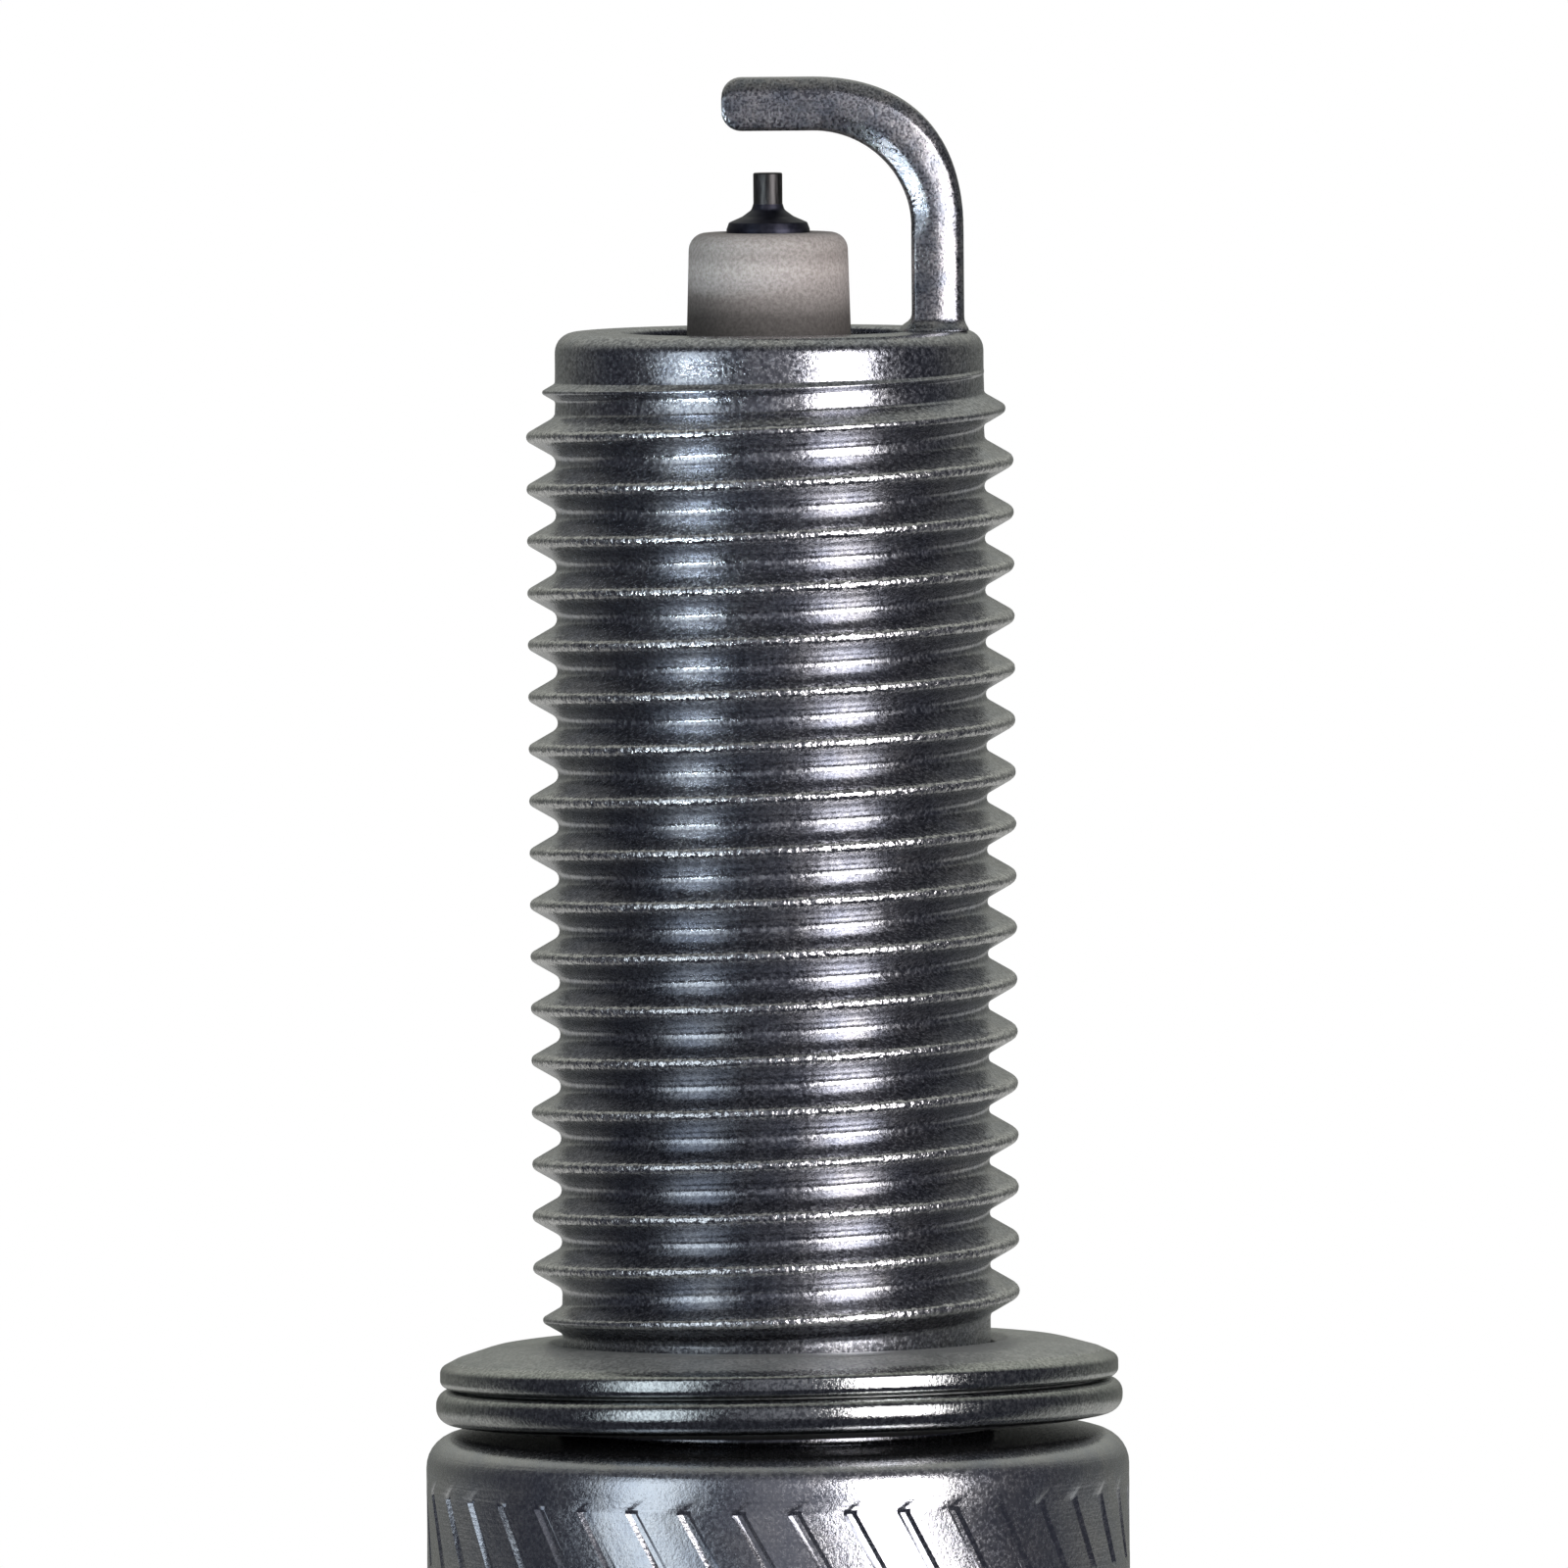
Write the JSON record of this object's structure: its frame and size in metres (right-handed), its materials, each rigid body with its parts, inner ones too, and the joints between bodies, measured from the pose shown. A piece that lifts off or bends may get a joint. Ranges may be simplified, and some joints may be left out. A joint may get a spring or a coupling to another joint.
{
  "type": "spark plug",
  "caption": "Motorcycle spark plug with M12 thread, captive folded gasket, hexagon, fine-wire centre electrode, J-shaped ground electrode and ribbed insulator with a screw-off terminal nut.",
  "frame": {"origin": "on the plug's axis, in the plane of the shell's gasket seat, where the barrel's shoulder meets the neck below the thread", "axes": "+Z along the plug's axis towards the firing end, +X from the axis towards the ground electrode's leg, +Y completes the right-handed frame and is normal to one hexagon flat"},
  "size_m": [0.017, 0.017, 0.0831],
  "materials": {
    "nickel_plated_steel": "bright nickel plate over a turned and rolled steel surface, smooth with fine turning marks",
    "gasket_steel": "plated sheet steel, matte on the domed top and polished on the rolled edge",
    "alumina_ceramic": "white alumina ceramic: matte at the firing end, clear glaze on the ribbed end",
    "nickel_alloy": "drawn nickel alloy wire, satin, with rounded edges",
    "oxidised_nickel": "dark nickel alloy with laser weld discolouration",
    "copper": "plain drawn copper",
    "iridium": "dark grey drawn iridium wire",
    "packing_steel": "plain steel",
    "talc": "pressed white talc powder",
    "conductive_glass": "dark copper-filled glass, opaque",
    "resistor_mix": "dark carbon and glass mix, matte",
    "stud_steel": "plain turned and rolled steel"
  },
  "bodies": {
    "plug": {"shell": "nickel_plated_steel", "insulator": "alumina_ceramic", "ground_electrode": "nickel_alloy", "centre_electrode": "oxidised_nickel", "copper_core": "copper", "iridium_tip": "iridium", "seat_packing_washer": "packing_steel", "packing_ring_lower": "packing_steel", "talc_packing": "talc", "packing_ring_upper": "packing_steel", "glass_seal_lower": "conductive_glass", "resistor": "resistor_mix", "glass_seal_upper": "conductive_glass", "terminal_stud": "stud_steel"},
    "gasket": {"gasket": "gasket_steel"},
    "terminal_nut": {"terminal_nut": "nickel_plated_steel"}
  },
  "joints": [
    {"name": "gasket_spin", "type": "hinge", "parent": "plug", "child": "gasket", "pos_m": [0, 0, 0.001], "axis": [0, 0, 1], "continuous": true},
    {"name": "terminal_nut_unscrew", "type": "slide", "parent": "plug", "child": "terminal_nut", "axis": [0, 0, -1], "range_m": [0, 0.0063]}
  ]
}
